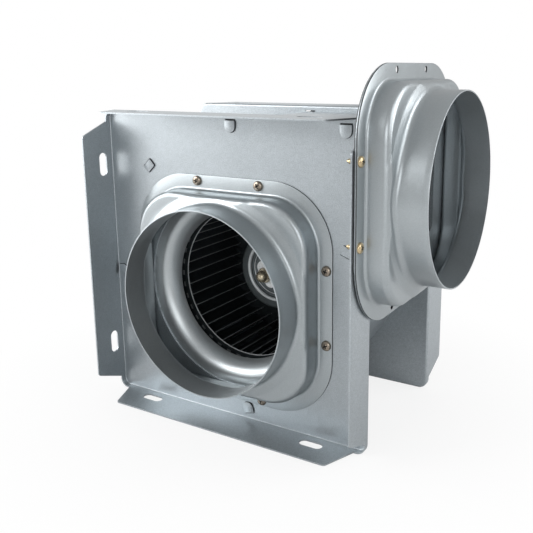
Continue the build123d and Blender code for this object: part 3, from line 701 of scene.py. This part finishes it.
headY = fan["frontY"] - collarSizes["sheet"]
headX = fan["outletX"] + collarSizes["sheet"]
intakePlaces = [facingFront(x, headY, z) for x, z in holeSpots]
outletPlaces = [
    seat((headX, fan["outletY"] + side * fan["holeReach"], fan["outletZ"] + height), (0, 1, 0), (1, 0, 0))
    for side in (-1, 1)
    for height in (-fan["holeOffset"], fan["holeOffset"])
]
addScrews("intakeScrewSet", "collar", intakePlaces, "bronzeSteel", "bronze_screw", "intake_screws")
addScrews("outletScrewSet", "collar", outletPlaces, "brassSteel", "brass_screw", "outlet_screws")

rearLayout = {  # circles: reach, Y, number of screws and first angle; places: X, Y and Z
    "plateCircle": (87.0, 174.2, 6, 0),
    "footCircle": (56.0, 181.2, 4, 45),
    "lidPlaces": ((18.4, 199.7, 109.8), (92.6, 199.7, 138.0)),
    "clipPlace": (-50.0, 173.7, 93.3),
}


def rearSeat(x, y, z):
    return seat((x, y, z), (-1, 0, 0), (0, 1, 0))


def rearCircle(reach, y, count, start):
    angles = [math.radians(start + 360 / count * k) for k in range(count)]
    return [rearSeat(reach * math.cos(a), y, reach * math.sin(a)) for a in angles]


platePlaces = rearCircle(*rearLayout["plateCircle"])
footPlaces = rearCircle(*rearLayout["footCircle"])
lidPlaces = [rearSeat(*place) for place in rearLayout["lidPlaces"]]
clipPlaces = [rearSeat(*rearLayout["clipPlace"])]
addScrews("plateScrewSet", "foot", platePlaces, "zincSteel", "zinc_screw", "plate_screws")
addScrews("footScrewSet", "foot", footPlaces, "zincSteel", "zinc_screw", "motor_screws")
addScrews("lidScrewSet", "lid", lidPlaces, "zincSteel", "zinc_screw", "lid_screws")
addScrews("clipScrewPiece", "small", clipPlaces, "zincSteel", "zinc_screw", "clip_screw")
print("screws made")


# the wheel's hub: back disc with a rolled rim, nut and clamp

discSizes = {
    "rear": 149.6,
    "outer": 77.0,
    "cupBase": 51.0,
    "cupTop": 36.0,
    "top": 110.6,
    "eye": 25.7,
    "bead": 22.4,
    "step": 112.6,
    "dish": 116.4,
    "bore": 4.3,
    "sheet": 1.0,
    "corner": 2.0,
    "sharp": 40.0,
    "cupShape": ((0.0, 3.2), (-1.2, 0.0)),  # outwards and rearwards from cupTop and top
    "eyeShape": ((0.6, 0.0), (0.0, 2.2), (0.0, 3.2)),  # from eye and top
    "beadShape": ((0.5, 1.2), (0.1, 0.0), (-0.6, 0.4), (-1.6, 1.2)),  # from bead and step
    "brightRim": (25.4, 28.3, 112.2),  # painted highlight from and to these radii, in front of this Y
    "brightBead": (0.4, 113.5),  # painted highlight this near to the bead, in front of this Y
    "paintedFrom": 40.0,
    "segments": 192,
}


def rounded(points, radius, steps=6):
    # the corners of an open profile turned into arcs
    out = [points[0]]
    for before, corner, after in zip(points, points[1:], points[2:]):
        b, c, a = Vector(before), Vector(corner), Vector(after)
        size = min(radius, (b - c).length * 0.45, (a - c).length * 0.45)
        start, end = c + (b - c).normalized() * size, c + (a - c).normalized() * size
        for k in range(steps + 1):
            t = k / steps
            out.append(tuple(start * (1 - t) ** 2 + c * 2 * t * (1 - t) + end * t * t))
    out.append(points[-1])
    return out


def backDisc(d):
    profile = [(d["outer"], d["rear"]), (d["cupBase"], d["rear"])]
    profile += [(d["cupTop"] + across, d["top"] + down) for across, down in d["cupShape"]]
    profile.append((d["brightRim"][1], d["top"]))
    profile += [(d["eye"] + across, d["top"] + down) for across, down in d["eyeShape"]]
    profile += [(d["bead"] + across, d["step"] + down) for across, down in d["beadShape"]]
    profile.append((d["bore"], d["dish"]))
    shape = turnedSheet(rounded(profile, d["corner"]), d["sheet"], d["segments"])
    mesh = meshFrom("backDiscSkin", shape, d["sharp"], intoFan)
    stands = ["impeller_back_disc"]
    addPiece("backDiscSkin", mesh, "impeller", "hub_metal", stands, "hubSteel", "rimPaintedHighlight", "discPaint")
    rimFrom, rimTo, rimFront = d["brightRim"]
    beadWidth, beadFront = d["brightBead"]
    # the rolled rim and the bead take a painted highlight
    for face in mesh.polygons:
        reach, depth = math.hypot(face.center.x, face.center.z) / mm, face.center.y / mm
        rim = rimFrom < reach < rimTo and depth < rimFront
        bead = abs(reach - d["bead"]) < beadWidth and depth < beadFront
        face.material_index = 2 if reach > d["paintedFrom"] else int(rim or bead)


nutSizes = {
    "flats": 12.0,
    "hexHeight": 5.2,
    "lowBevel": ((0, 6.25), (0.25, 6.5), (0.7, 7.2)),  # height over the seat, widest radius
    "highBevel": ((1.1, 7.2), (0.4, 6.5), (0, 5.95)),  # depth under the hexagon's top, widest radius
    "neck": ((-0.25, 0.05), (0.0, 0.5)),  # outwards and upwards from cap and hexHeight
    "cap": 5.5,
    "domeBase": 6.3,
    "height": 12.0,
    "domeSteps": 12,
    "segments": 96,
    "seatY": 97.7,
}


def acornNut(n):
    count = n["segments"]
    levels = list(n["lowBevel"]) + [(n["hexHeight"] - down, limit) for down, limit in n["highBevel"]]
    rings = []
    for height, limit in levels:
        ring = []
        for k in range(count):
            angle = math.tau * k / count
            flat = n["flats"] / 2 / math.cos((angle % (math.pi / 3)) - math.pi / 6)
            ring.append(polar(min(flat, limit), angle, height))
        rings.append(ring)
    rings += [circle(n["cap"] + across, n["hexHeight"] + up, count) for across, up in n["neck"]]
    for step in range(n["domeSteps"] + 1):
        t = math.pi / 2 * step / n["domeSteps"]
        height = n["domeBase"] + (n["height"] - n["domeBase"]) * math.sin(t)
        rings.append(circle(n["cap"] * math.cos(t), height, count))
    shape = bmesh.new()
    skin(shape, rings)
    shape.verts.ensure_lookup_table()
    shape.faces.new(shape.verts[:count])
    bmesh.ops.remove_doubles(shape, verts=shape.verts, dist=1e-4)
    mesh = meshFrom("acornNut", shape, place=facingFront(0, n["seatY"], 0))
    addPiece("acornNut", mesh, "impeller", "brass_nut", ["hub_nut"], "nutBrass")


clampSizes = {
    "length": 26.0,
    "width": 12.0,
    "waist": 7.0,
    "sheet": 2.4,
    "bevels": ((0, 0.3), (0.3, 0), (1.5, 0), (2.1, 0.25), (2.4, 0.9)),  # height, inset of the outline
    "grooves": ((7.6, 7.0), (9.2, 5.56), (10.8, 4.12)),  # distance from the shaft, length
    "grooveWidth": 0.55,
    "grooveDepth": 0.6,
    "bore": 4.3,
    "boreSegments": 48,
    "drillLength": 12.0,
    "segments": 144,
    "seatY": 100.1,
    "turn": 123.0,
}


def stadiumReach(straight, half, angle):
    # distance from the centre to the edge of a slot-shaped plate
    c, s = abs(math.cos(angle)), abs(math.sin(angle))
    if s > 1e-9 and half / s * c <= straight:
        return half / s
    return straight * c + math.sqrt(max(0.0, half * half - (straight * s) ** 2))


def hubClampPiece(c):
    straight = (c["length"] - c["width"]) / 2
    rings = []
    for height, inset in c["bevels"]:
        ring = []
        for k in range(c["segments"]):
            angle = math.tau * k / c["segments"]
            reach = max(stadiumReach(straight, c["width"] / 2 - inset, angle), c["waist"] - inset)
            ring.append(polar(reach, angle, height))
        rings.append(ring)
    shape = bmesh.new()
    skin(shape, rings, True)
    cutter = drills(c["bore"], c["drillLength"], [Matrix()], c["boreSegments"])
    for side in (-1, 1):
        for offset, length in c["grooves"]:
            size = (c["grooveWidth"], length, c["grooveDepth"] * 2)
            addBox(cutter, size, (side * offset, 0, c["sheet"]))
    shape = carved("hubClamp", shape, cutter)
    place = facingFront(0, c["seatY"], 0) @ Matrix.Rotation(math.radians(c["turn"]), 4, "Z")
    mesh = meshFrom("hubClampPiece", shape, place=place)
    addPiece("hubClampPiece", mesh, "impeller", "clamp_white", ["hub_clamp"], "clampWhite")


backDisc(discSizes)
acornNut(nutSizes)
hubClampPiece(clampSizes)


# bell mouth: one smooth turned ring behind the front pan

bellSizes = {
    "seat": 45.2,
    "flange": 87.9,
    "lead": 3.0,
    "throat": 63.7,
    "round": 13.0,
    "lip": 1.1,
    "sheet": 1.0,
    "sweep": 74.0,
    "steps": 28,
    "segments": 240,
    "sharp": 40.0,
}


def bellMouth(b):
    whole = math.radians(b["sweep"])
    profile = [(b["flange"], b["seat"]), (b["throat"] + b["round"] + b["lead"], b["seat"])]
    for step in range(b["steps"] + 1):
        a = whole * step / b["steps"]
        reach = b["throat"] + b["round"] * (1 - math.sin(a) / math.sin(whole))
        depth = (b["round"] + b["lip"]) * (1 - math.cos(a)) / (1 - math.cos(whole))
        profile.append((reach, b["seat"] + depth))
    shape = turnedSheet(profile, b["sheet"], b["segments"])
    mesh = meshFrom("bellMouthSkin", shape, b["sharp"], intoFan)
    addPiece("bellMouthSkin", mesh, "casing", "galvanised", ["bell_mouth"], "bellSteelPaintedLight")


bellMouth(bellSizes)
print("hub and bell mouth made")


# the strip's tabs, folded over on the front pan: each is a leaf that stands off its slot

tabSizes = {
    "width": 9.6,
    "length": 9.4,
    "squareLength": 7.2,
    "squareCorner": 0.9,
    "cornerSteps": 4,
    "noseSteps": 16,
    "stand": 1.5,
    "gap": 0.7,
    "undercut": 0.7,
    "lip": 0.05,
    "topEdge": ((-0.45, 0.0), (-0.12, 0.14), (0.0, 0.45)),  # height from the top, inset
    "slit": 0.2,
    "slitHeights": (-0.3, 0.05),
    "slot": (1.15, 9.9, 0.8),  # along the fold direction, across it and deep
    "slotCentre": -0.75,
    "shadeOver": 0.2,  # painted shade up to this far over the gap, and on sides this far under the top
    "shadeUnder": 0.4,
    "sharp": 35.0,
    "places": (  # x, z and fold direction in degrees, then whether its end is square
        (-83.31, 101.06, 314.3, True),
        (-121.85, 2.13, 3.8, False),
        (16.30, -104.11, 103.7, False),
        (4.0, 139.2, 270.0, False),
        (104.9, 139.2, 270.0, False),
        (105.5, 42.9, 70.0, True),
    ),
}


def leafOutline(t, inset, square, height):
    half = t["width"] / 2 - inset
    points = [(0.0, -half)]
    if square:
        end, corner = t["squareLength"] - inset, t["squareCorner"]
        for side, start in ((-1, -90), (1, 0)):
            for step in range(t["cornerSteps"] + 1):
                a = math.radians(start + 90 * step / t["cornerSteps"])
                x, y = end - corner, side * (half - corner)
                points.append((x + corner * math.cos(a), y + corner * math.sin(a)))
    else:
        nose = t["length"] - t["width"] / 2
        for step in range(t["noseSteps"] + 1):
            a = math.radians(-90 + 180 * step / t["noseSteps"])
            points.append((nose + half * math.cos(a), half * math.sin(a)))
    points.append((0.0, half))
    return [Vector((x, y, height)) for x, y in points]


def tabLeaf(t, square):
    levels = [(0.0, t["undercut"]), (t["gap"], t["undercut"]), (t["gap"] + t["lip"], 0.0)]
    levels += [(t["stand"] + lift, inset) for lift, inset in t["topEdge"]]
    shape = bmesh.new()
    skin(shape, [leafOutline(t, inset, square, height) for height, inset in levels], True)
    # a thin ring round the leaf at the panel, painted dark as shade in the slit
    skin(shape, [leafOutline(t, -t["slit"], square, height) for height in t["slitHeights"]], True)
    # a block inside the slot, painted dark as shade
    addBox(shape, t["slot"], (-t["slot"][0] / 2, 0, t["slotCentre"]))
    return shape


def makeTabs(t):
    whole = None
    for x, z, fold, square in t["places"]:
        turn = math.radians(fold)
        place = seat((x, fan["frontY"], z), (math.cos(turn), 0, math.sin(turn)), (0, -1, 0))
        whole = stamp(tabLeaf(t, square), [place], whole)
    mesh = meshFrom("foldedTabs", whole, t["sharp"])
    addPiece("foldedTabs", mesh, "casing", "galvanised", (), "stripSteel", "paintedGapShade")
    # the gap under each leaf, its lower sides, the ring and the slot block are painted dark as shade
    for face in mesh.polygons:
        lift = fan["frontY"] - face.center.y / mm
        side = abs(face.normal.y) < 0.2 and lift < t["stand"] - t["shadeUnder"]
        face.material_index = int(side or lift < t["gap"] + t["shadeOver"])


# CAD pieces with something cut away: the strip's tongues in front of the pan, where the tabs stand
# instead, and wide holes behind the outlet collar's open ones, moved rearwards for a slanting look

cutSizes = {
    "slab": (300, 4, 300),
    "slabPast": 0.02,
    "sightRadius": 3.3,
    "sightSegments": 40,
    "sightShift": 3.1,
    "plateSpan": (126.0, 128.0),
    "gasketSpan": (125.0, 126.6),
}


def trimmed(name, node, cutter, slotName, finishName):
    solid = bmesh.new()
    solid.from_mesh(nodes[node].data)
    bmesh.ops.scale(solid, verts=solid.verts, vec=(1 / mm,) * 3)
    bmesh.ops.remove_doubles(solid, verts=solid.verts, dist=1e-4)
    shape = carved(name, solid, cutter)
    bmesh.ops.scale(shape, verts=shape.verts, vec=(mm,) * 3)
    addPiece(name, meshFrom(name, shape), "casing", slotName, [node], finishName)


def frontSlab(c):
    slab = bmesh.new()
    addBox(slab, c["slab"], (0, fan["frontY"] + c["slabPast"] - c["slab"][1] / 2, 0))
    return slab


def sightHoles(c, low, high):
    turn = Matrix.Rotation(math.pi / 2, 4, "Y")
    places = []
    for side in (-1, 1):
        for offset in (-fan["holeOffset"], fan["holeOffset"]):
            y, z = fan["outletY"] + offset + c["sightShift"], fan["outletZ"] + side * fan["holeReach"]
            places.append(Matrix.Translation(((low + high) / 2, y, z)) @ turn)
    return drills(c["sightRadius"], high - low, places, c["sightSegments"])


plateHoles = sightHoles(cutSizes, *cutSizes["plateSpan"])
gasketHoles = sightHoles(cutSizes, *cutSizes["gasketSpan"])
makeTabs(tabSizes)
trimmed("voluteStrip", "volute_wall", frontSlab(cutSizes), "galvanised", "stripSteel")
trimmed("outletPlateSkin", "outlet_plate", plateHoles, "galvanised", "panSteel")
trimmed("outletGasketSkin", "outlet_gasket", gasketHoles, "gasket_rubber", "gasketRubber")
print("tabs, strip and outlet plate made")


# camera, floor and lights, in metres

studio = {
    "focalPixels": 703.25,
    "imagePixels": 533,
    "sensor": 36.0,  # mm
    "principal": (300.0, 220.0),
    "position": (0.32819, -0.40516, 0.17816),
    "yaw": 30.24,  # degrees to the left of straight ahead
    "pitch": 12.13,  # degrees down
    "roll": -0.35,
    "clip": (0.01, 60),
    "floorZ": -0.1112,
    "floorRadius": 6.0,
    "floorSegments": 96,
    "floorColour": (0.70, 0.70, 0.70, 1),
    "floorRoughness": 0.9,
    "floorCentre": (0.0, 0.11),
    "floorFade": (0.13, 0.30),  # distances from the centre where the fade to white starts and ends
    "floorWhite": 0.82,
    "worldLevel": 0.55,
    "aim": (0.05, 0.10, 0.03),
    "lamps": (  # name, degrees round from the front, degrees up, metres away, width, height, watts
        ("leftWall", -68, 19, 1.6, 1.0, 1.3, 16.5),
        ("frontLow", -46, 8, 1.6, 0.6, 0.6, 2.2),
        ("frontHigh", -40, 27, 1.6, 0.5, 0.5, 7.5),
        ("ductFill", 26, 14, 1.6, 0.8, 0.8, 5.0),
        ("leftBack", -102, 12, 1.6, 0.8, 0.9, 3.0),
        ("rearLeft", -139, 17, 1.6, 0.8, 0.6, 1.0),
        ("rightWall", 84, 28, 1.6, 0.8, 1.1, 6.5),
        ("rightBack", 122, 20, 1.6, 0.9, 1.1, 14.0),
    ),
}


def makeCamera(s):
    data = bpy.data.cameras.new("photoCamera")
    camera = bpy.data.objects.new("photoCamera", data)
    bpy.context.scene.collection.objects.link(camera)
    bpy.context.scene.camera = camera
    data.sensor_width = s["sensor"]
    data.lens = s["focalPixels"] / s["imagePixels"] * s["sensor"]
    half = s["imagePixels"] / 2
    data.shift_x = (half - s["principal"][0]) / s["imagePixels"]
    data.shift_y = (s["principal"][1] - half) / s["imagePixels"]
    data.clip_start, data.clip_end = s["clip"]
    yaw, pitch = math.radians(s["yaw"]), math.radians(s["pitch"])
    ahead = Vector((-math.sin(yaw) * math.cos(pitch), math.cos(yaw) * math.cos(pitch), -math.sin(pitch)))
    turn = ahead.to_track_quat("-Z", "Y").to_matrix() @ Matrix.Rotation(math.radians(s["roll"]), 3, "Z")
    camera.matrix_world = Matrix.Translation(s["position"]) @ turn.to_4x4()


def floorPaint(s):
    # pale paint that the camera sees fade to white away from the fan
    paint = Finish("floorPaint", Base_Color=s["floorColour"], Roughness=s["floorRoughness"])
    near, far = s["floorFade"]
    ends = {0: paint.place(), 1: s["floorCentre"] + (s["floorZ"],)}
    reach = paint.node("ShaderNodeVectorMath", {"operation": "DISTANCE"}, ends, 1)
    away = ((reach - near) / (far - near)).clamped()
    seen = paint.node("ShaderNodeLightPath")
    share = seen * (s["floorWhite"] + away * (1 - s["floorWhite"]))
    white = paint.node("ShaderNodeEmission", inputs={"Color": (1, 1, 1, 1), "Strength": 1.0})
    lit = Field(paint.tree, paint.shader.outputs[0])
    mixed = paint.node("ShaderNodeMixShader", inputs={0: share, 1: lit, 2: white})
    give(paint.tree, paint.tree.nodes["Material Output"].inputs["Surface"], mixed)
    return paint


def makeFloor(s):
    shape = bmesh.new()
    bmesh.ops.create_circle(shape, cap_ends=True, radius=s["floorRadius"], segments=s["floorSegments"])
    bmesh.ops.translate(shape, verts=shape.verts, vec=(0, 0, s["floorZ"]))
    floor = bpy.data.objects.new("floor", meshFrom("floor", shape))
    bpy.context.scene.collection.objects.link(floor)
    floor.data.materials.append(floorPaint(s).material)


def makeWorld(s):
    # the camera sees plain white; what lights the fan is darker, so that the metal keeps its contrast
    world = bpy.data.worlds.new("studioWorld")
    bpy.context.scene.world = world
    world.use_nodes = True
    tree = world.node_tree
    background = tree.nodes["Background"]
    background.inputs["Color"].default_value = (1, 1, 1, 1)
    path = tree.nodes.new("ShaderNodeLightPath")
    seen = Field(tree, path.outputs["Is Camera Ray"])
    give(tree, background.inputs["Strength"], s["worldLevel"] + seen * (1 - s["worldLevel"]))


def softbox(centre, name, around, up, away, width, height, watts):
    data = bpy.data.lights.new(name, "AREA")
    data.shape = "RECTANGLE"
    data.size, data.size_y = width, height
    data.energy = watts
    lamp = bpy.data.objects.new(name, data)
    bpy.context.scene.collection.objects.link(lamp)
    a, e = math.radians(around), math.radians(up)
    towards = Vector((math.sin(a) * math.cos(e), -math.cos(a) * math.cos(e), math.sin(e)))
    aim = (-towards).to_track_quat("-Z", "Y").to_matrix().to_4x4()
    lamp.matrix_world = Matrix.Translation(Vector(centre) + towards * away) @ aim


makeCamera(studio)
makeFloor(studio)
makeWorld(studio)
for lampRow in studio["lamps"]:
    softbox(studio["aim"], *lampRow)
bpy.context.scene.view_settings.view_transform = "Standard"
print("studio made")
